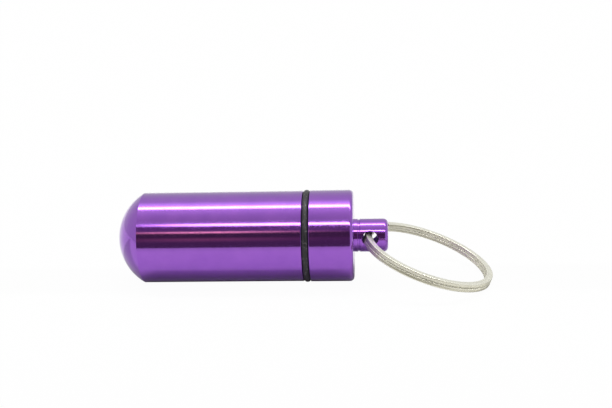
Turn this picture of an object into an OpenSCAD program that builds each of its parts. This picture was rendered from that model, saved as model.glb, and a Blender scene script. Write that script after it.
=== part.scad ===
// Pill fob for a key ring: a domed aluminium tube with a screw cap, a rubber seal and a split ring.
// Millimetres. The fob lies on a table with its axis along X, the split ring at the +X end.
// The origin is under the middle of the whole object, on the table.

/* [Tube] */
// Outside diameter of the tube
tube_d = 17; // [16:0.1:20]
// Straight length of the tube, from the edge of the dome to the seal
tube_len = 30.2; // [20:0.1:60]
// Height of the domed end
dome_h = 4.9; // [2:0.1:7]
// Width of the shoulder that the seal sits on, from the neck out to the tube's side
shoulder_w = 1.5; // [1.4:0.05:2]
// Thickness of the neck's wall, from the bore that holds the pills to the root of the thread
neck_wall = 0.575; // [0.5:0.025:2]
// Thickness of the closed end, from the tip of the drill cone to the tip of the dome
end_wall = 5.3; // [3:0.1:12]
// Angle of the drill cone at the bottom of the bore
drill_angle = 118; // [90:1:140]
// Bevel on the turned edges of the tube
tube_bevel = 0.1; // [0.05:0.05:0.3]

/* [Screw thread] */
// Pitch of the thread, which is also the travel for one turn
pitch = 1.25; // [1.1:0.05:1.75]
// Clearance of the thread, on the radius and along the axis
thread_gap = 0.1; // [0.08:0.01:0.12]
// Distance from the cap's rim to the middle of the first thread
thread_start = 0.8; // [0.6:0.1:2]

/* [O-ring seal] */
// How far the squeezed seal stands out past the tube
seal_proud = 0.175; // [0.1:0.005:0.3]
// Width of the squeezed seal, between the tube and the cap
seal_w = 1.3; // [1:0.05:1.35]
// Clearance between the seal and the neck
seal_gap = 0.05; // [0.02:0.01:0.1]

/* [Cap] */
// How far the cap stands out past the tube
cap_proud = 0.075; // [0:0.005:0.1]
// Length of the cap, from its rim to the face round the knob
cap_len = 8.1; // [7:0.1:14]
// Thickness of the cap's end wall
cap_end = 1.75; // [1:0.05:3]
// Radius of the cap's outer corner
cap_corner = 0.75; // [0.2:0.05:1.2]
// Bevel on the cap's rim
cap_bevel = 0.1; // [0.05:0.05:0.3]
// Clearance between the end of the neck and the bottom of the cap
neck_gap = 0.4; // [0.2:0.1:1]

/* [Knob] */
// Diameter of the knob
knob_d = 6.2; // [5.6:0.1:8]
// Length of the knob
knob_len = 6.4; // [5.4:0.1:9]
// Radius of the knob's outer corner
knob_corner = 0.8; // [0.2:0.05:1]
// Width of the raised band at the foot of the knob
band_w = 0.78; // [0.2:0.02:0.8]
// Width of the groove beside the band
groove_w = 0.36; // [0.2:0.02:0.6]
// Depth of the groove
groove_depth = 0.12; // [0.05:0.01:0.3]

/* [Cross hole] */
// Diameter of the cross hole for the split ring
hole_d = 2.9; // [2.7:0.05:3.4]
// Distance from the cap's face to the middle of the cross hole
hole_from_face = 3.05; // [2.5:0.05:3.3]
// Countersink at both mouths of the cross hole
hole_bevel = 0.15; // [0.05:0.05:0.3]
// Roll of the cross hole off level, with its front mouth higher
hole_roll = 5; // [0:0.5:5]

/* [Split ring] */
// Outside diameter of the split ring
ring_d = 25; // [22:0.1:32]
// Width of the ring's wire, across the ring
wire_w = 1.2; // [0.9:0.05:1.3]
// Thickness of the ring's wire, along the ring's axis
wire_t = 0.6; // [0.5:0.02:0.66]
// Bevel on the corners of the wire
wire_bevel = 0.12; // [0.05:0.01:0.2]
// Gap between the two turns of the ring
turn_gap = 0.42; // [0.41:0.01:0.46]
// Arc over which the wire climbs from the first turn to the second
step_arc = 20; // [20:1:40]
// Place of the step on the ring, counted from the cross hole towards the back
step_at = 18; // [18:1:120]
// Arc left between each end of the wire and the step
end_arc = 2; // [2:0.5:6]
// Clearance between the strand and the wall of the cross hole
strand_gap = 0.16; // [0.12:0.01:0.2]
// How far the ring has slid round through the cross hole
ring_slide = 1; // [0:0.5:2]
// How far the ring has turned in the cross hole, with its far side coming to the front
ring_yaw = 5; // [0:0.5:5]

/* [Hidden] */

// Fineness of the round surfaces, the thread and the wire, in steps for each turn
round_steps = 96;
thread_steps = 24;
wire_steps = 48;
// A cut or a joined shape runs this far past the face that it meets
past = 0.3;
// The screw ridges run this far past the cylinder that they stand on
ridge_sink = 0.1;
// Both screw ridges start this far round the axis
thread_phase = 4;

tube_r = tube_d / 2;
seal_r = tube_r + seal_proud;
cap_r = tube_r + cap_proud;
knob_r = knob_d / 2;
hole_r = hole_d / 2;

// The sphere that makes the dome, from its height and the tube's radius
dome_r = (pow(tube_r, 2) + pow(dome_h, 2)) / (2 * dome_h);

// Places along the axis, counted from the edge of the dome
seal_x = tube_len;
cap_x = seal_x + seal_w;
face_x = cap_x + cap_len;
knob_x = face_x + knob_len;
hole_x = face_x + hole_from_face;
cap_bottom_x = face_x - cap_end;
neck_x = cap_bottom_x - neck_gap;

// The neck's thread is a 60 degree ridge, half a pitch high, with its root and its crest cut flat
thread_r = tube_r - shoulder_w;
thread_depth = pitch / 2;
neck_core_r = thread_r - thread_depth;
bore_r = neck_core_r - neck_wall;
crest_w = pitch / 8;
root_w = crest_w + 2 * thread_depth * tan(30);
// The ridge fades into the neck over this share of a turn
fade_turns = 0.25;
thread_x = cap_x + thread_start;
thread_turns = (neck_x - tube_bevel - root_w - thread_x) / pitch;

// The cap's thread is the neck's, grown by the clearance, and it starts outside the cap's rim
cap_core_r = neck_core_r + thread_gap;
cap_thread_r = thread_r + thread_gap;
cap_crest_w = crest_w + 2 * thread_gap;
cap_root_w = cap_crest_w + 2 * thread_depth * tan(30);
lead_turns = ceil((thread_start + root_w) / pitch);
cap_turns = lead_turns + thread_turns + fade_turns;

// The strand in the cross hole lies against the wall on the cap's side
ring_r = ring_d / 2;
ring_mean_r = ring_r - wire_w / 2;
ring_half_t = wire_t + turn_gap / 2;
strand_offset = sqrt(pow(hole_r - strand_gap, 2) - pow(ring_half_t, 2)) - wire_w / 2;

// The split ring hangs from the cross hole and its far side rests on the table
rest_r = max(tube_r, seal_r, cap_r);
ring_centre = ring_mean_r - strand_offset;
ring_reach = ring_centre * cos(ring_slide) + ring_r;
foot_reach = ring_reach - wire_bevel;
ring_tilt = asin(rest_r / norm([foot_reach, ring_half_t])) - atan(ring_half_t / foot_reach);

// How far the ring's middle lies beyond the cross hole and in front of it, and how far its axis leans
ring_along = ring_centre * (cos(ring_slide) * cos(ring_tilt) * cos(ring_yaw) - sin(ring_slide) * sin(ring_yaw));
ring_aside = ring_centre * (cos(ring_slide) * cos(ring_tilt) * sin(ring_yaw) + sin(ring_slide) * cos(ring_yaw));
ring_lean = sin(ring_tilt) * cos(ring_yaw);

// The whole object is centred on the origin and stands on z = 0
low_x = -dome_h;
high_x = hole_x + ring_along + ring_r * sqrt(1 - pow(ring_lean, 2)) + (ring_half_t - wire_bevel) * ring_lean;
middle_x = (low_x + high_x) / 2;
middle_y = -ring_aside;

// Turns a shape drawn along Z so that it lies along X
module along_x() {
    rotate([0, 90, 0])
        children();
}

// Moves the fob's own axis to its place in the object
module placed() {
    translate([-middle_x, -middle_y, rest_r])
        children();
}

// One section of the thread's ridge, at a share of a turn along it, with its full size times grow
function ridge_section(turn, grow, root_r, crest_r, root_w, crest_w) =
    let (x = pitch * turn)
    let (r = root_r + grow * (crest_r - root_r))
    let (w = root_w + grow * (crest_w - root_w))
    let (outline = [[x - root_w / 2, root_r], [x - w / 2, r], [x + w / 2, r], [x + root_w / 2, root_r]])
    [for (p = outline) [p[0], p[1] * cos(360 * turn), p[1] * sin(360 * turn)]];

// Triangles that join the sections of a tube, each with the same number of corners
function tube_sides(sections, corners) = [
    for (i = [0:sections - 2], j = [0:corners - 1])
        let (a = i * corners + j)
        let (b = i * corners + (j + 1) % corners)
        each [[a, b, b + corners], [a, b + corners, a + corners]]
];

// Triangles that close the two ends of a tube
function tube_ends(sections, corners) =
    let (last = (sections - 1) * corners)
    [
        for (j = [1:corners - 2])
            each [[0, j + 1, j], [last, last + j, last + j + 1]]
    ];

// A closed tube through sections that all have the same number of corners
module swept_tube(sections) {
    corners = len(sections[0]);
    polyhedron(
        points = [for (s = sections) each s],
        faces = concat(tube_sides(len(sections), corners), tube_ends(len(sections), corners)),
        convexity = 10
    );
}

// A right-hand screw ridge along X that starts at x = 0. Its far end fades out, and its start if asked
module screw_ridge(turns, root_r, crest_r, root_w, crest_w, fade_start) {
    steps = ceil(turns * thread_steps);
    // The faded ends keep this share of the ridge, which stays hidden in the wall
    least = 0.1;
    sections = [
        for (i = [0:steps])
            let (turn = turns * i / steps)
            let (rise = fade_start ? turn / fade_turns : 1)
            let (fall = (turns - turn) / fade_turns)
            ridge_section(turn, max(least, min(1, rise, fall)), root_r, crest_r, root_w, crest_w)
    ];
    rotate([thread_phase, 0, 0])
        swept_tube(sections);
}

// Outline of a turned bar from y0 to y1, with a bevel at its far edge
module bevelled_outline(r, y0, y1, bevel) {
    polygon([[0, y0], [r, y0], [r, y1 - bevel], [r - bevel, y1], [0, y1]]);
}

// Outline of a turned bar from y0 to y1, with a bevel at its near edge and a round corner at its far edge
module rounded_outline(r, y0, y1, bevel, corner) {
    polygon([[0, y0], [r - bevel, y0], [r, y0 + bevel], [r, y1 - corner], [0, y1 - corner]]);
    translate([0, y0])
        square([r - corner, y1 - y0]);
    translate([r - corner, y1 - corner])
        circle(r = corner, $fn = round_steps);
}

// The domed end, cut from a sphere where it meets the tube
module dome_outline() {
    intersection() {
        translate([0, dome_r - dome_h])
            circle(r = dome_r, $fn = round_steps);
        translate([0, -dome_h])
            square([tube_r, dome_h + past]);
    }
}

module tube_body() {
    along_x()
        rotate_extrude($fn = round_steps) {
            dome_outline();
            bevelled_outline(tube_r, 0, seal_x, tube_bevel);
            bevelled_outline(thread_r, 0, cap_x, tube_bevel);
            bevelled_outline(neck_core_r, 0, neck_x, tube_bevel);
        }
}

module neck_thread() {
    translate([thread_x, 0, 0])
        screw_ridge(
            thread_turns,
            neck_core_r - ridge_sink,
            thread_r,
            root_w + 2 * ridge_sink * tan(30),
            crest_w,
            true
        );
}

// The bore, with its drill cone at the bottom and a bevel at its mouth
module pill_bore() {
    tip_x = end_wall - dome_h;
    bore_x = tip_x + bore_r / tan(drill_angle / 2);
    flare_r = bore_r + tube_bevel + past;
    along_x()
        rotate_extrude($fn = round_steps)
            polygon([
                [0, tip_x],
                [bore_r, bore_x],
                [bore_r, neck_x - tube_bevel],
                [flare_r, neck_x + past],
                [0, neck_x + past]
            ]);
}

module tube() {
    color("mediumpurple")
        placed()
        difference() {
            union() {
                tube_body();
                neck_thread();
            }
            pill_bore();
        }
}

// The O-ring, squeezed flat where it meets the tube and the cap
module o_ring() {
    section_r = seal_w / 2;
    inner_r = thread_r + seal_gap;
    color("dimgray")
        placed()
        along_x()
        rotate_extrude($fn = round_steps) {
            for (r = [inner_r + section_r, seal_r - section_r])
                translate([r, seal_x + section_r])
                circle(r = section_r, $fn = round_steps);
            translate([inner_r + section_r, seal_x])
                square([seal_r - inner_r - seal_w, seal_w]);
        }
}

module cap_body() {
    along_x()
        rotate_extrude($fn = round_steps)
            difference() {
                union() {
                    rounded_outline(cap_r, cap_x, face_x, cap_bevel, cap_corner);
                    rounded_outline(knob_r, face_x - past, knob_x, 0, knob_corner);
                }
                translate([knob_r - groove_depth, face_x + band_w])
                    square([groove_depth + past, groove_w]);
            }
}

// The space that the neck screws into, flared at the rim
module cap_bore() {
    flare = cap_thread_r - cap_core_r;
    along_x()
        rotate_extrude($fn = round_steps)
            polygon([
                [0, cap_x - past],
                [cap_thread_r + past, cap_x - past],
                [cap_core_r, cap_x + flare],
                [cap_core_r, cap_bottom_x],
                [0, cap_bottom_x]
            ]);
}

module cap_thread() {
    translate([thread_x - lead_turns * pitch, 0, 0])
        screw_ridge(
            cap_turns,
            cap_core_r - ridge_sink,
            cap_thread_r,
            cap_root_w + 2 * ridge_sink * tan(30),
            cap_crest_w,
            false
        );
}

module cross_hole() {
    flare = hole_bevel + past;
    translate([hole_x, 0, 0])
        rotate([90 - hole_roll, 0, 0]) {
            cylinder(r = hole_r, h = knob_d + 2 * past, center = true, $fn = round_steps);
            for (side = [0, 180])
                rotate([side, 0, 0])
                translate([0, 0, knob_r - hole_bevel])
                cylinder(r1 = hole_r, r2 = hole_r + flare, h = flare, $fn = round_steps);
        }
}

module cap() {
    color("mediumpurple")
        placed()
        difference() {
            cap_body();
            cap_bore();
            cap_thread();
            cross_hole();
        }
}

// Height of the wire's middle above the ring's middle plane, at an angle along the wire
function wire_height(angle) =
    let (share = min(1, max(0, (angle - 360) / step_arc + 1)))
    let (smooth = share * share * (3 - 2 * share))
    (2 * smooth - 1) * (wire_t + turn_gap) / 2;

// One section of the wire: a rectangle with its corners cut off
function wire_section(angle) =
    let (w = wire_w / 2)
    let (t = wire_t / 2)
    let (c = wire_bevel)
    let (h = wire_height(angle))
    let (outline = [
        [w, t - c], [w - c, t], [c - w, t], [-w, t - c],
        [-w, c - t], [c - w, -t], [w - c, -t], [w, c - t]
    ])
    [for (p = outline)
        [(ring_mean_r + p[0]) * cos(angle), (ring_mean_r + p[0]) * sin(angle), h + p[1]]];

// The wire starts just past the step, makes two turns and ends just short of it
wire_end = 720 - step_arc - end_arc;
wire_angles = [for (angle = [end_arc : 360 / wire_steps : wire_end - 1]) angle, wire_end];
wire_sections = [for (angle = wire_angles) wire_section(angle)];

// The least distance between corners of the wire that lie more than half a turn apart along it
half_turn = wire_steps / 2;
least_gap = min([
    for (i = [0:len(wire_sections) - 1 - half_turn], j = [i + half_turn:len(wire_sections) - 1])
        if (norm(wire_sections[i][0] - wire_sections[j][0]) < 2 * wire_w)
            for (a = wire_sections[i], b = wire_sections[j])
                norm(a - b)
]);
echo(str("Least gap of the split ring's wire to itself: ", least_gap, " mm"));

module split_ring() {
    color("gainsboro")
        placed()
        translate([hole_x, 0, 0])
        rotate(-ring_yaw)
        rotate([0, ring_tilt, 0])
        rotate(-ring_slide)
        translate([ring_centre, 0, 0])
        rotate(180 - step_at)
        swept_tube(wire_sections);
}

tube();
o_ring();
cap();
split_ring();
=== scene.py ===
"""Looks for the pill fob: turned anodised tube and cap, rubber seal, flat-wire split ring.

Everything is in metres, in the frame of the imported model. Sizes are written in millimetres, and
MM takes them to metres. Places along the fob are counted from the edge of the dome, as on a
turning drawing.
"""

import math

import bmesh
import bpy
from mathutils import Matrix, Vector


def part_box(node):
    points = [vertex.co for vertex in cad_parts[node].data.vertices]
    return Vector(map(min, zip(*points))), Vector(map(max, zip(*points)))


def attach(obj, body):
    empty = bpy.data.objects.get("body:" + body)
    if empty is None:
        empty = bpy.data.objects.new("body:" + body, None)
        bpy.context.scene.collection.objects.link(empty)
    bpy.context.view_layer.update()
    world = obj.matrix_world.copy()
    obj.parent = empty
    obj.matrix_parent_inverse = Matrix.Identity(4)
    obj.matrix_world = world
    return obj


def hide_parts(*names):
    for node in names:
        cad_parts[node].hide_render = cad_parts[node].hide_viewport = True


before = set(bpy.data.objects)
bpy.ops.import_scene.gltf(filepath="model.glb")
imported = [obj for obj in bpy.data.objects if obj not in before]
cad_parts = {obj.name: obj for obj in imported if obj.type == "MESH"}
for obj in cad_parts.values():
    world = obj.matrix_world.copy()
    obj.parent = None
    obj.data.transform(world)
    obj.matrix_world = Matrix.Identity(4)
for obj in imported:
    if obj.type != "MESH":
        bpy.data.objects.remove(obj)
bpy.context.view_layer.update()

MM = 0.001

# Sizes of the fob, the same as the solids
TUBE_R = 8.5
DOME_H = 4.9
SEAL_X = 30.2
CAP_X = 31.5
CAP_R = 8.575
FACE_X = 39.6
KNOB_X = 46.0
KNOB_R = 3.1
BAND_W = 0.78
GROOVE_W = 0.36
GROOVE_DEPTH = 0.12
NECK_R = 7.0
NECK_X = 37.45
CAP_BOTTOM_X = 37.85
BORE_R = 5.8
BORE_TIP_X = 0.4
BORE_X = 3.885
PITCH = 1.25
THREAD_DEPTH = 0.625
THREAD_GAP = 0.1
THREAD_X = 32.3
THREAD_CREST_W = PITCH / 8
RIDGE_FADE = PITCH / 4
TUBE_RIDGE_SHORT = 0.85
CAP_RIDGE_SHORT = 0.3
NECK_BEVEL = 0.12
OUTER_EDGE = 0.12
BORE_EDGE = 0.14
BORE_FLOOR_EDGE = 0.3
CAP_CORNER = 0.75
KNOB_CORNER = 0.8
SEAL_PROUD = 0.175
SEAL_PLAY = 0.05
HOLE_X = 42.65
HOLE_R = 1.45
HOLE_ROLL = math.radians(5)
SINK_X = 2.95
SINK_W = 1.05
DRILL_END = 4

# Sizes of the split ring
RING_R = 12.5
WIRE_W = 1.2
WIRE_T = 0.765
WIRE_CORNER = 0.13
TURN_GAP = 0.045
RING_CENTRE = 11.496
RING_TILT = math.radians(19.3508)
RING_SLIDE = math.radians(1)
RING_YAW = math.radians(5)
STEP_ARC = 20.0
STEP_AT = 18.0
END_ARC = 2.0

# How finely the turned pieces are cut, and where their long faces get points of their own
STEPS = 256
SHORTEST_HELD = 0.3
HOLD_GAP = 0.04

# The table, in metres
TABLE_FRONT = -0.068
TABLE_REACH = 3.0

tube_low, tube_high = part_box("tube")
fob_origin = Vector((
    tube_low.x + DOME_H * MM,
    (tube_low.y + tube_high.y) / 2,
    (tube_low.z + tube_high.z) / 2,
))


def from_mesh(name, bm, sharp=30):
    """Makes an object of a bmesh, smooth but for its edges sharper than an angle in degrees."""
    bmesh.ops.remove_doubles(bm, verts=bm.verts, dist=0.5e-6)
    bmesh.ops.recalc_face_normals(bm, faces=bm.faces)
    mesh = bpy.data.meshes.new(name)
    bm.to_mesh(mesh)
    bm.free()
    for face in mesh.polygons:
        face.use_smooth = True
    mesh.set_sharp_from_angle(angle=math.radians(sharp))
    obj = bpy.data.objects.new(name, mesh)
    bpy.context.scene.collection.objects.link(obj)
    return obj


def rounded(corners, arc_steps=5):
    """An outline through corners (x, r, radius), each rounded to its radius."""
    points = []
    for i, (x, r, radius) in enumerate(corners):
        here = Vector((x, r))
        if radius == 0 or i in (0, len(corners) - 1):
            points.append(here)
            continue
        before = (Vector(corners[i - 1][:2]) - here).normalized()
        after = (Vector(corners[i + 1][:2]) - here).normalized()
        half = before.angle(after) / 2
        back = radius / math.tan(half)
        middle = here + (before + after).normalized() * (radius / math.sin(half))
        start = here + before * back - middle
        end = here + after * back - middle
        turn = start.angle_signed(end)
        for k in range(arc_steps + 1):
            spin = Matrix.Rotation(-turn * k / arc_steps, 2)
            points.append(middle + spin @ start)
    return points


def held(outline, piece):
    """Adds points to an outline's straight parts, so that its round corners don't bend their shading.

    The points stand close to both ends of a part and, between them, at least piece apart.
    """
    points = []
    for a, b in zip(outline, outline[1:]):
        points.append(tuple(a))
        length = (b - a).length
        if length < SHORTEST_HELD:
            continue
        near = HOLD_GAP / length
        pieces = max(1, int(length / piece))
        for share in [near] + [k / pieces for k in range(1, pieces)] + [1 - near]:
            points.append(tuple(a.lerp(b, share)))
    points.append(tuple(outline[-1]))
    return points


def fob_point(x, r, angle):
    """A point at x along the fob, at a radius and an angle, the angle from +Y towards +Z."""
    return fob_origin + Vector((x, r * math.cos(angle), r * math.sin(angle))) * MM


def add_grid(bm, rows):
    """Faces between neighbouring rows of points. A row of equal points closes to one corner."""
    verts = [[bm.verts.new(p) for p in row] for row in rows]
    for a, b in zip(verts, verts[1:]):
        for j in range(len(a) - 1):
            bm.faces.new((a[j], a[j + 1], b[j + 1], b[j]))


def add_turned(bm, outline):
    """Spins an outline of (x, r) points about the fob's axis."""
    rows = []
    for x, r in outline:
        rows.append([fob_point(x, r, math.tau * j / STEPS) for j in range(STEPS + 1)])
    add_grid(bm, rows)


def thread_outline(core, crest, crest_w):
    """One pitch of a thread, as (share of the pitch, radius), from root to root."""
    flank = abs(crest - core) * math.tan(math.radians(30))
    soft = 0.03
    top = crest_w / 2
    low = top + flank
    slope = (crest - core) * soft / flank
    half = [
        (-PITCH / 2, core),
        (-low - soft, core),
        (-low + soft, core + slope),
        (-top - soft, crest - slope),
        (-top + soft, crest),
    ]
    other = [(-x, r) for x, r in reversed(half)]
    return [(x / PITCH, r) for x, r in half + other]


def add_thread(bm, outline, core, x0, x1, first, last, limit):
    """A threaded surface from x0 to x1, with full ridges from first to last.

    limit(x, r) gives the radius that the bevels at the ends leave of a radius.
    """
    rows = []
    turns = math.ceil((x1 - x0) / PITCH) + 2
    for turn in range(turns):
        for share, r in outline:
            row = []
            for j in range(STEPS + 1):
                x = x0 + PITCH * (turn - 1 + share + j / STEPS)
                ridge_x = x0 + PITCH * (turn - 1 + j / STEPS)
                fade = min(1, max(0, (ridge_x - first) / RIDGE_FADE))
                fade *= min(1, max(0, (last - ridge_x) / RIDGE_FADE))
                x = min(x1, max(x0, x))
                row.append(fob_point(x, limit(x, core + (r - core) * fade), math.tau * j / STEPS))
            rows.append(row)
    add_grid(bm, rows)


def dome_points(steps=48):
    """The domed end, from its tip to the edge of the straight tube."""
    dome_r = (TUBE_R ** 2 + DOME_H ** 2) / (2 * DOME_H)
    edge = math.asin(TUBE_R / dome_r)
    points = []
    for k in range(steps + 1):
        a = edge * k / steps
        points.append((dome_r - DOME_H - dome_r * math.cos(a), dome_r * math.sin(a)))
    return points


def make_tube():
    bm = bmesh.new()
    outer = rounded([
        (0.04, TUBE_R, 0), (SEAL_X, TUBE_R, OUTER_EDGE), (SEAL_X, NECK_R, 0.1),
        (CAP_X - 0.1, NECK_R, 0.08), (CAP_X, NECK_R - THREAD_DEPTH, 0),
    ])
    add_turned(bm, dome_points() + held(outer, piece=5))
    core = NECK_R - THREAD_DEPTH
    end = NECK_X - NECK_BEVEL
    bevel_top = NECK_R + 0.05
    bevel_slope = 2

    def limit(x, r):
        return min(r, bevel_top - max(0, x - end) * bevel_slope)

    add_thread(
        bm, thread_outline(core, NECK_R, THREAD_CREST_W), core,
        CAP_X, NECK_X, THREAD_X, NECK_X - TUBE_RIDGE_SHORT, limit,
    )
    inner = rounded([
        (NECK_X, core, 0), (NECK_X, BORE_R, BORE_EDGE), (BORE_X, BORE_R, BORE_FLOOR_EDGE),
        (BORE_TIP_X, 0, 0),
    ])
    add_turned(bm, held(inner, piece=5))
    return from_mesh("tube_turned", bm)


def make_cap():
    bm = bmesh.new()
    core = NECK_R - THREAD_DEPTH + THREAD_GAP
    root = NECK_R + THREAD_GAP
    groove = FACE_X + BAND_W
    outer = rounded([
        (CAP_X, root, 0), (CAP_X, CAP_R, OUTER_EDGE), (FACE_X, CAP_R, CAP_CORNER), (FACE_X, KNOB_R, 0.05),
        (groove, KNOB_R, 0.07), (groove, KNOB_R - GROOVE_DEPTH, 0.04),
        (groove + GROOVE_W, KNOB_R - GROOVE_DEPTH, 0.04), (groove + GROOVE_W, KNOB_R, 0.06),
        (KNOB_X, KNOB_R, KNOB_CORNER), (KNOB_X, 0, 0),
    ], arc_steps=10)
    add_turned(bm, held(outer, piece=0.5))

    def limit(x, r):
        return max(r, root - (x - CAP_X))

    add_thread(
        bm, thread_outline(core, root, THREAD_CREST_W + 2 * THREAD_GAP), core,
        CAP_X, CAP_BOTTOM_X, CAP_X - 3 * PITCH, NECK_X - CAP_RIDGE_SHORT, limit,
    )
    add_turned(bm, [(CAP_BOTTOM_X, core), (CAP_BOTTOM_X, 0)])
    cap = from_mesh("cap_turned", bm)
    cut_hole(cap)
    return cap


def cut_hole(cap):
    """Drills the cross hole through the knob, with a countersink at each mouth."""
    bm = bmesh.new()
    axis = Vector((0, -math.cos(HOLE_ROLL), math.sin(HOLE_ROLL)))
    side = axis.cross(Vector((1, 0, 0)))
    wide = HOLE_R + SINK_W
    outline = [
        (-DRILL_END, 0), (-DRILL_END, wide), (-SINK_X, HOLE_R),
        (SINK_X, HOLE_R), (DRILL_END, wide), (DRILL_END, 0),
    ]
    middle = fob_origin + Vector((HOLE_X, 0, 0)) * MM
    sides = 128
    rows = []
    for along, r in outline:
        row = []
        for j in range(sides + 1):
            angle = math.tau * j / sides
            across = Vector((1, 0, 0)) * math.cos(angle) + side * math.sin(angle)
            row.append(middle + (axis * along + across * r) * MM)
        rows.append(row)
    add_grid(bm, rows)
    cutter = from_mesh("hole_cutter", bm)
    cut = cap.modifiers.new("cross_hole", "BOOLEAN")
    cut.operation = "DIFFERENCE"
    cut.solver = "EXACT"
    cut.object = cutter
    bpy.context.view_layer.update()
    mesh = bpy.data.meshes.new_from_object(cap.evaluated_get(bpy.context.evaluated_depsgraph_get()))
    cap.modifiers.clear()
    cap.data = mesh
    mesh.set_sharp_from_angle(angle=math.radians(25))
    bpy.data.objects.remove(cutter)


def make_o_ring():
    bm = bmesh.new()
    width = CAP_X - SEAL_X
    r = width / 2
    inner = NECK_R + SEAL_PLAY + r
    outer = TUBE_R + SEAL_PROUD - r
    steps = 48
    outline = []
    for k in range(steps + 1):
        angle = math.radians(-90 + 360 * k / steps)
        middle = outer if math.cos(angle) >= 0 else inner
        outline.append((SEAL_X + r + r * math.sin(angle), middle + r * math.cos(angle)))
    add_turned(bm, outline + outline[:1])
    return from_mesh("o_ring_rubber", bm, sharp=60)


def ring_matrix():
    """Takes the split ring's own frame, with its axis along Z, to its place on the fob."""
    place = Matrix.Translation(fob_origin + Vector((HOLE_X, 0, 0)) * MM)
    yaw = Matrix.Rotation(-RING_YAW, 4, "Z")
    tilt = Matrix.Rotation(RING_TILT, 4, "Y")
    slide = Matrix.Rotation(-RING_SLIDE, 4, "Z")
    out = Matrix.Translation(Vector((RING_CENTRE * MM, 0, 0)))
    return place @ yaw @ tilt @ slide @ out


def make_split_ring():
    bm = bmesh.new()
    mean_r = RING_R - WIRE_W / 2
    corner_x = WIRE_W / 2 - WIRE_CORNER
    corner_y = WIRE_T / 2 - WIRE_CORNER
    corner_steps = 4
    outline = []
    for x, y, start in (
        (corner_x, corner_y, 0), (-corner_x, corner_y, 90),
        (-corner_x, -corner_y, 180), (corner_x, -corner_y, 270),
    ):
        for k in range(corner_steps + 1):
            angle = math.radians(start + 90 * k / corner_steps)
            outline.append((x + WIRE_CORNER * math.cos(angle), y + WIRE_CORNER * math.sin(angle)))
    end = 720 - STEP_ARC - END_ARC
    place = ring_matrix() @ Matrix.Rotation(math.radians(180 - STEP_AT), 4, "Z")
    steps = 460
    rows = []
    for i in range(steps + 1):
        degrees = END_ARC + (end - END_ARC) * i / steps

        # Over the step the wire eases from the lower turn to the upper one
        share = min(1, max(0, (degrees - 360) / STEP_ARC + 1))
        smooth = share * share * (3 - 2 * share)
        height = (2 * smooth - 1) * (WIRE_T + TURN_GAP) / 2
        angle = math.radians(degrees)
        row = []
        for x, y in outline + outline[:1]:
            reach = (mean_r + x) * MM
            level = (height + y) * MM
            row.append(place @ Vector((reach * math.cos(angle), reach * math.sin(angle), level)))
        rows.append(row)
    for row, at in ((rows[0], 0), (rows[-1], len(rows) + 1)):
        middle = sum(row[:-1], Vector()) / (len(row) - 1)
        rows.insert(at, [middle] * len(row))
    add_grid(bm, rows)
    return from_mesh("split_ring_wire", bm, sharp=50)


# Materials


class Nodes:
    """A small helper that adds and links the nodes of one material or world."""

    def __init__(self, owner):
        owner.use_nodes = True
        self.tree = owner.node_tree
        self.tree.nodes.clear()

    def add(self, kind, inputs=None, **settings):
        node = self.tree.nodes.new(kind)
        for key, value in settings.items():
            setattr(node, key, value)
        for key, value in (inputs or {}).items():
            if isinstance(value, bpy.types.NodeSocket):
                self.tree.links.new(value, node.inputs[key])
            else:
                node.inputs[key].default_value = value
        return node

    def math(self, operation, *values):
        return self.add("ShaderNodeMath", dict(enumerate(values)), operation=operation).outputs[0]

    def ramp(self, factor, stops, interpolation="LINEAR"):
        node = self.add("ShaderNodeValToRGB", {"Fac": factor})
        ramp = node.color_ramp
        ramp.interpolation = interpolation
        while len(ramp.elements) < len(stops):
            ramp.elements.new(1)
        for element, (place, colour) in zip(ramp.elements, stops):
            element.position = place
            element.color = (*colour, 1)
        return node.outputs["Color"]


def srgb(*levels):
    """Linear colour of display levels from 0 to 255."""
    return tuple(
        v / 255 / 12.92 if v / 255 <= 0.04045 else ((v / 255 + 0.055) / 1.055) ** 2.4 for v in levels
    )


def turned_coordinates(nodes):
    """Place on a turned piece: along the axis, out from it, and the angle round it."""
    where = nodes.add("ShaderNodeTexCoord").outputs["Object"]
    local = nodes.add(
        "ShaderNodeVectorMath", {0: where, 1: tuple(fob_origin)}, operation="SUBTRACT"
    ).outputs[0]
    parts = nodes.add("ShaderNodeSeparateXYZ", {0: local}).outputs
    angle = nodes.math("ARCTAN2", parts["Z"], parts["Y"])
    radius = nodes.math(
        "SQRT",
        nodes.math(
            "ADD", nodes.math("MULTIPLY", parts["Y"], parts["Y"]),
            nodes.math("MULTIPLY", parts["Z"], parts["Z"]),
        ),
    )
    return local, parts["X"], radius, angle


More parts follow.
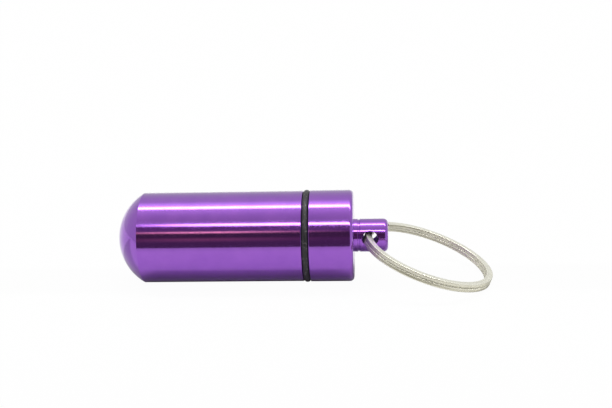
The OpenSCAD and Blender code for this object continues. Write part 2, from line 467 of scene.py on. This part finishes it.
def anodised():
    material = bpy.data.materials.new("anodised_purple")
    nodes = Nodes(material)
    local, x, radius, angle = turned_coordinates(nodes)

    # Turning marks: fine rings on the sides and fine circles on the faces
    along = nodes.math("ADD", x, nodes.math("MULTIPLY", radius, 0.83))
    wander = nodes.math("MULTIPLY", angle, 0.0012)
    marks_at = nodes.add("ShaderNodeCombineXYZ", {0: along, 1: wander}).outputs[0]
    marks = nodes.add(
        "ShaderNodeTexNoise",
        {"Vector": marks_at, "Scale": 9000.0, "Detail": 3.0, "Roughness": 0.6},
    ).outputs["Fac"]
    bump = nodes.add("ShaderNodeBump", {"Height": marks, "Strength": 0.22, "Distance": 0.00002})

    # Each turning mark is a little duller or brighter than its neighbours
    fine_at = nodes.add(
        "ShaderNodeCombineXYZ", {0: along, 1: nodes.math("MULTIPLY", angle, 0.003)}
    ).outputs[0]
    fine = nodes.add(
        "ShaderNodeTexNoise", {"Vector": fine_at, "Scale": 3500.0, "Detail": 2.0, "Roughness": 0.6}
    ).outputs["Fac"]

    # The dye lies a little unevenly
    patches = nodes.add(
        "ShaderNodeTexNoise", {"Vector": local, "Scale": 260.0, "Detail": 4.0, "Roughness": 0.55}
    ).outputs["Fac"]
    colour = nodes.ramp(patches, [(0.3, (0.302, 0.092, 0.565)), (0.7, (0.346, 0.109, 0.612))])
    rough = nodes.add(
        "ShaderNodeMapRange",
        {"Value": fine, "From Min": 0.35, "From Max": 0.65, "To Min": 0.05, "To Max": 0.14},
    ).outputs[0]

    # The drilled wall of the cross hole is duller, and painted shade gives it a darker colour and dimmer
    # reflections
    parts = nodes.add("ShaderNodeSeparateXYZ", {0: local}).outputs
    across = nodes.math("SUBTRACT", parts["X"], HOLE_X * MM)
    level = nodes.math("MULTIPLY", parts["Z"], math.cos(HOLE_ROLL))
    level = nodes.math("MULTIPLY_ADD", parts["Y"], math.sin(HOLE_ROLL), level)
    squares = nodes.math("ADD", nodes.math("POWER", across, 2.0), nodes.math("POWER", level, 2.0))
    drilled_wall_and_shade = nodes.math("LESS_THAN", squares, ((HOLE_R + 0.03) * MM) ** 2)
    # Painted shade: the hole's wall gets a darker colour
    colour = nodes.add(
        "ShaderNodeMix", {"Factor": drilled_wall_and_shade, 6: colour, 7: (0.14, 0.08, 0.22, 1)}, data_type="RGBA"
    ).outputs[2]
    rough = nodes.add("ShaderNodeMix", {"Factor": drilled_wall_and_shade, 2: rough, 3: 0.45}).outputs[0]
    coat = nodes.math("MULTIPLY_ADD", drilled_wall_and_shade, -0.7, 0.7)
    # Painted shade: a dark tint dims the reflections on the hole's wall
    painted_hole_shade_tint = nodes.ramp(drilled_wall_and_shade, [(0, (1, 1, 1)), (1, (0.26, 0.2, 0.36))])
    surface = nodes.add(
        "ShaderNodeBsdfPrincipled",
        {
            "Base Color": colour,
            "Metallic": 1.0,
            "Roughness": rough,
            "Coat Weight": coat,
            "Specular Tint": painted_hole_shade_tint,
            "Coat Roughness": 0.12,
            "Coat IOR": 1.5,
            "Normal": bump.outputs[0],
        },
    )
    nodes.add("ShaderNodeOutputMaterial", {"Surface": surface.outputs[0]})
    return material


def rubber():
    material = bpy.data.materials.new("rubber_charcoal")
    nodes = Nodes(material)
    where = nodes.add("ShaderNodeTexCoord").outputs["Object"]
    grain = nodes.add(
        "ShaderNodeTexNoise", {"Vector": where, "Scale": 2500.0, "Detail": 5.0, "Roughness": 0.7}
    ).outputs["Fac"]
    dust = nodes.add(
        "ShaderNodeTexNoise", {"Vector": where, "Scale": 3800.0, "Detail": 1.0}
    ).outputs["Fac"]
    specks = nodes.ramp(dust, [(0.66, (0, 0, 0)), (0.72, (1, 1, 1))])
    base = nodes.ramp(grain, [(0.3, srgb(20, 20, 23)), (0.7, srgb(34, 34, 38))])
    colour = nodes.add(
        "ShaderNodeMix", {"Factor": specks, 6: base, 7: (*srgb(150, 148, 150), 1)}, data_type="RGBA"
    ).outputs[2]
    bump = nodes.add("ShaderNodeBump", {"Height": grain, "Strength": 0.35, "Distance": 0.00004})
    surface = nodes.add(
        "ShaderNodeBsdfPrincipled",
        {"Base Color": colour, "Roughness": 0.42, "Normal": bump.outputs[0]},
    )
    nodes.add("ShaderNodeOutputMaterial", {"Surface": surface.outputs[0]})
    return material


def nickel():
    material = bpy.data.materials.new("nickel_wire")
    nodes = Nodes(material)
    where = nodes.add("ShaderNodeTexCoord").outputs["Object"]
    place = ring_matrix()
    local = nodes.add(
        "ShaderNodeMapping",
        {"Vector": where, "Location": place.to_translation(), "Rotation": place.to_euler()},
        vector_type="TEXTURE",
    ).outputs[0]
    parts = nodes.add("ShaderNodeSeparateXYZ", {0: local}).outputs
    angle = nodes.math("ARCTAN2", parts["Y"], parts["X"])
    arc = nodes.math("MULTIPLY", angle, RING_R * MM)

    # Rolling and bending leave fine marks across the wire
    marks_at = nodes.add(
        "ShaderNodeCombineXYZ", {0: arc, 1: nodes.math("MULTIPLY", parts["Z"], 0.12)}
    ).outputs[0]
    marks = nodes.add(
        "ShaderNodeTexNoise", {"Vector": marks_at, "Scale": 5000.0, "Detail": 3.0, "Roughness": 0.6}
    ).outputs["Fac"]
    bump = nodes.add("ShaderNodeBump", {"Height": marks, "Strength": 0.14, "Distance": 0.00003})
    stain = nodes.add(
        "ShaderNodeTexNoise", {"Vector": local, "Scale": 400.0, "Detail": 4.0, "Roughness": 0.6}
    ).outputs["Fac"]
    colour = nodes.ramp(stain, [(0.3, (0.9, 0.895, 0.79)), (0.7, (0.97, 0.965, 0.86))])

    # Drawing the wire leaves darker streaks along it
    out = nodes.math(
        "SQRT",
        nodes.math("MULTIPLY_ADD", parts["X"], parts["X"], nodes.math("MULTIPLY", parts["Y"], parts["Y"])),
    )
    streaks_at = nodes.add(
        "ShaderNodeCombineXYZ", {0: out, 1: parts["Z"], 2: nodes.math("MULTIPLY", arc, 0.012)}
    ).outputs[0]
    streaks = nodes.add(
        "ShaderNodeTexNoise", {"Vector": streaks_at, "Scale": 4200.0, "Detail": 2.0, "Roughness": 0.6}
    ).outputs["Fac"]
    shade = nodes.ramp(streaks, [(0.38, (0.4, 0.39, 0.31)), (0.54, (0.86, 0.85, 0.79))])

    # The streaks are strong on the wire's edges and faint on its two polished flats; the edges also get a
    # darker tone, painted shade that leaves the flats lighter
    normal = nodes.add("ShaderNodeTexCoord").outputs["Normal"]
    axis = place.to_3x3() @ Vector((0, 0, 1))
    facing = nodes.add(
        "ShaderNodeVectorMath", {0: normal, 1: tuple(axis)}, operation="DOT_PRODUCT"
    ).outputs[1]
    streaks_and_edge_shade = nodes.math("MULTIPLY_ADD", nodes.math("ABSOLUTE", facing), -0.8, 1.0)
    # Painted shade: the wire's edges come out darker than its flats
    colour = nodes.add(
        "ShaderNodeMix", {"Factor": streaks_and_edge_shade, 6: colour, 7: shade}, data_type="RGBA", blend_type="MULTIPLY"
    ).outputs[2]
    surface = nodes.add(
        "ShaderNodeBsdfPrincipled",
        {"Base Color": colour, "Metallic": 0.78, "Roughness": 0.43, "Normal": bump.outputs[0]},
    )
    nodes.add("ShaderNodeOutputMaterial", {"Surface": surface.outputs[0]})
    return material


def dress(piece, material, node, body):
    """Gives a piece its material and puts it in the place of a solid."""
    piece.data.materials.clear()
    piece.data.materials.append(material)
    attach(piece, body)
    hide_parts(node)


purple = anodised()
dress(make_tube(), purple, "tube", "tube")
dress(make_cap(), purple, "cap", "cap")
dress(make_o_ring(), rubber(), "o_ring", "seal")
dress(make_split_ring(), nickel(), "split_ring", "split_ring")


# Table, light and camera


def white_to_camera(nodes, surface, share):
    """Lifts a surface towards white where the camera sees it straight."""
    rays = nodes.add("ShaderNodeLightPath").outputs
    white = nodes.add("ShaderNodeEmission", {"Color": (1, 1, 1, 1), "Strength": 1.0}).outputs[0]
    factor = nodes.math("MULTIPLY", rays["Is Camera Ray"], share)
    return nodes.add("ShaderNodeMixShader", {0: factor, 1: surface, 2: white}).outputs[0]


def make_table():
    material = bpy.data.materials.new("table_paper")
    nodes = Nodes(material)
    where = nodes.add("ShaderNodeTexCoord").outputs["Object"]
    fibre = nodes.add(
        "ShaderNodeTexNoise", {"Vector": where, "Scale": 900.0, "Detail": 3.0}
    ).outputs["Fac"]
    colour = nodes.ramp(fibre, [(0.3, (0.87, 0.87, 0.87)), (0.7, (0.9, 0.9, 0.9))])

    # Painted shade: the paper's colour is darkened towards the table's front edge, where the light falls
    # off, and close under the fob as a painted shadow
    y = nodes.add("ShaderNodeSeparateXYZ", {0: where}).outputs["Y"]
    painted_front_shade = nodes.add(
        "ShaderNodeMapRange", {"Value": y, "From Min": TABLE_FRONT, "From Max": -0.03, "To Min": 0.74}
    ).outputs[0]
    # Painted shadow: the paper is darker close under the fob
    away = nodes.math("ABSOLUTE", nodes.math("SUBTRACT", y, fob_origin.y))
    painted_shadow_under_fob = nodes.add(
        "ShaderNodeMapRange", {"Value": away, "From Min": 0.0055, "From Max": 0.0078, "To Min": 0.68}
    ).outputs[0]
    painted_shade_factor = nodes.math("MULTIPLY", painted_front_shade, painted_shadow_under_fob)
    colour = nodes.add("ShaderNodeVectorMath", {0: colour, 1: painted_shade_factor}, operation="MULTIPLY").outputs[0]
    paper = nodes.add("ShaderNodeBsdfDiffuse", {"Color": colour}).outputs[0]
    nodes.add("ShaderNodeOutputMaterial", {"Surface": white_to_camera(nodes, paper, 0.97)})

    # The table's front edge shows in the fob, so the paper in front of it is not seen by reflections
    for name, low, high, reflects in (
        ("table", TABLE_FRONT, TABLE_REACH, True),
        ("foreground", -TABLE_REACH, TABLE_FRONT, False),
    ):
        bm = bmesh.new()
        corners = [
            (-TABLE_REACH, low, 0), (TABLE_REACH, low, 0), (TABLE_REACH, high, 0), (-TABLE_REACH, high, 0),
        ]
        bm.faces.new([bm.verts.new(c) for c in corners])
        sheet = from_mesh(name, bm)
        sheet.data.materials.append(material)
        sheet.visible_glossy = reflects


def make_world():
    """A tent round the fob's axis: a key light overhead, a light in front, a pink light, a dark gap.

    Places in it are degrees round the axis, from the front at 0 over the top at 90 to the back.
    """
    world = bpy.data.worlds.new("tent")
    bpy.context.scene.world = world
    nodes = Nodes(world)
    direction = nodes.add("ShaderNodeTexCoord").outputs["Generated"]
    parts = nodes.add("ShaderNodeSeparateXYZ", {0: direction}).outputs
    front = nodes.math("MULTIPLY", parts["Y"], -1)
    around = nodes.math("ARCTAN2", parts["Z"], front)
    factor = nodes.math("ADD", nodes.math("DIVIDE", around, math.tau), 0.5)

    def at(degrees):
        return 0.5 + degrees / 360

    def grey(level):
        return (level, level, level)

    stops = [
        (at(-60), (0.12, 0.08, 0.1)),
        (at(-2), (0.13, 0.09, 0.11)),
        (at(12), (0.15, 0.1, 0.12)),
        (at(18), (0.1, 0.07, 0.075)),
        (at(27), (0.1, 0.07, 0.075)),
        (at(31.2), (0.21, 0.13, 0.2)),
        (at(44.6), (0.21, 0.13, 0.2)),
        (at(52), (0.75, 0.72, 0.75)),
        (at(62), grey(0.62)),
        (at(73), grey(0.73)),
        (at(80), grey(0.85)),
        (at(93.7), grey(1.1)),
        (at(95.7), grey(8)),
        (at(100.7), grey(8)),
        (at(104.2), grey(2)),
        (at(120), grey(0.85)),
        (at(137), grey(0.72)),
        (at(150), grey(0.66)),
        (at(165), grey(0.6)),
        (at(180), grey(0.7)),
    ]
    black = (0, 0, 0)
    front_light = [
        (at(45.4), black), (at(46.8), grey(8)), (at(50.6), grey(8)), (at(52.4), black),
    ]
    pink_light = [
        (at(5), black), (at(12), (0.39, 0.2, 0.1)), (at(18), black),
        (at(27.6), black), (at(28.8), (4.2, 3.2, 1.35)), (at(30.8), (4.2, 3.2, 1.35)), (at(32.2), black),
    ]

    # How bright the front light and the pink light are along the fob, from the dome to the ring
    front_length = [(-0.212, 0), (-0.202, 0.24), (-0.184, 0.62), (-0.152, 0.9), (-0.134, 1)]
    pink_length = [
        (-0.3, 0), (-0.208, 0.26), (-0.193, 0.55), (-0.184, 0.97), (-0.17, 0.93), (-0.152, 1),
        (-0.134, 0.47), (-0.098, 0.32), (-0.081, 0.16), (-0.068, 0.13), (-0.058, 0),
    ]
    top = max(max(colour) for place, colour in stops)

    def scaled(band):
        """The stops of a band with their colours brought into a ramp's range, from 0 to 1."""
        return [(spot, tuple(v / top for v in colour)) for spot, colour in band]

    def lit(place):
        """All the lights of the tent at a place round it."""
        light = nodes.ramp(place, scaled(stops))
        for band, length in ((front_light, front_length), (pink_light, pink_length)):
            glow = nodes.ramp(place, scaled(band))
            along = nodes.math("ADD", parts["X"], 0.5)
            shown = nodes.ramp(along, [(x + 0.5, grey(level)) for x, level in length])
            light = nodes.add(
                "ShaderNodeMix", {"Factor": shown, 6: light, 7: glow}, data_type="RGBA", blend_type="ADD"
            ).outputs[2]
        return light

    # The lights and the dark gap end at both sides, where the tent is plain
    aside = nodes.add(
        "ShaderNodeMapRange",
        {"Value": nodes.math("ABSOLUTE", parts["X"]), "From Min": 0.5, "From Max": 0.62},
        interpolation_type="SMOOTHSTEP",
    ).outputs[0]

    def tent_with_sides(lights, side_level, strength):
        side = side_level / top
        colour = nodes.add(
            "ShaderNodeMix", {"Factor": aside, 6: lights, 7: (side, side, side, 1)}, data_type="RGBA"
        ).outputs[2]
        return nodes.add("ShaderNodeBackground", {"Color": colour, "Strength": strength * top})

    # Matt surfaces get the same lights, turned a little so that the key light is right overhead
    key_turn = 7
    overhead = nodes.math("ADD", factor, key_turn / 360)
    tent = tent_with_sides(lit(factor), side_level=0.7, strength=1)
    soft = tent_with_sides(lit(overhead), side_level=0.06, strength=1.03)
    white = nodes.add("ShaderNodeBackground", {"Color": (1, 1, 1, 1), "Strength": 1.0})
    rays = nodes.add("ShaderNodeLightPath").outputs
    seen = nodes.add(
        "ShaderNodeMixShader", {0: rays["Is Glossy Ray"], 1: soft.outputs[0], 2: tent.outputs[0]}
    ).outputs[0]
    final = nodes.add(
        "ShaderNodeMixShader", {0: rays["Is Camera Ray"], 1: seen, 2: white.outputs[0]}
    ).outputs[0]
    nodes.add("ShaderNodeOutputWorld", {"Surface": final})


def make_camera():
    data = bpy.data.cameras.new("camera")
    data.sensor_width = 36
    data.lens = 62.09
    camera = bpy.data.objects.new("camera", data)
    bpy.context.scene.collection.objects.link(camera)
    camera.location = (0.013798, -0.18709, 0.072707)
    camera.rotation_euler = (math.radians(72.972), math.radians(1.841), math.radians(3.48))
    bpy.context.scene.camera = camera


make_table()
make_world()
make_camera()
bpy.context.scene.view_settings.view_transform = "Standard"
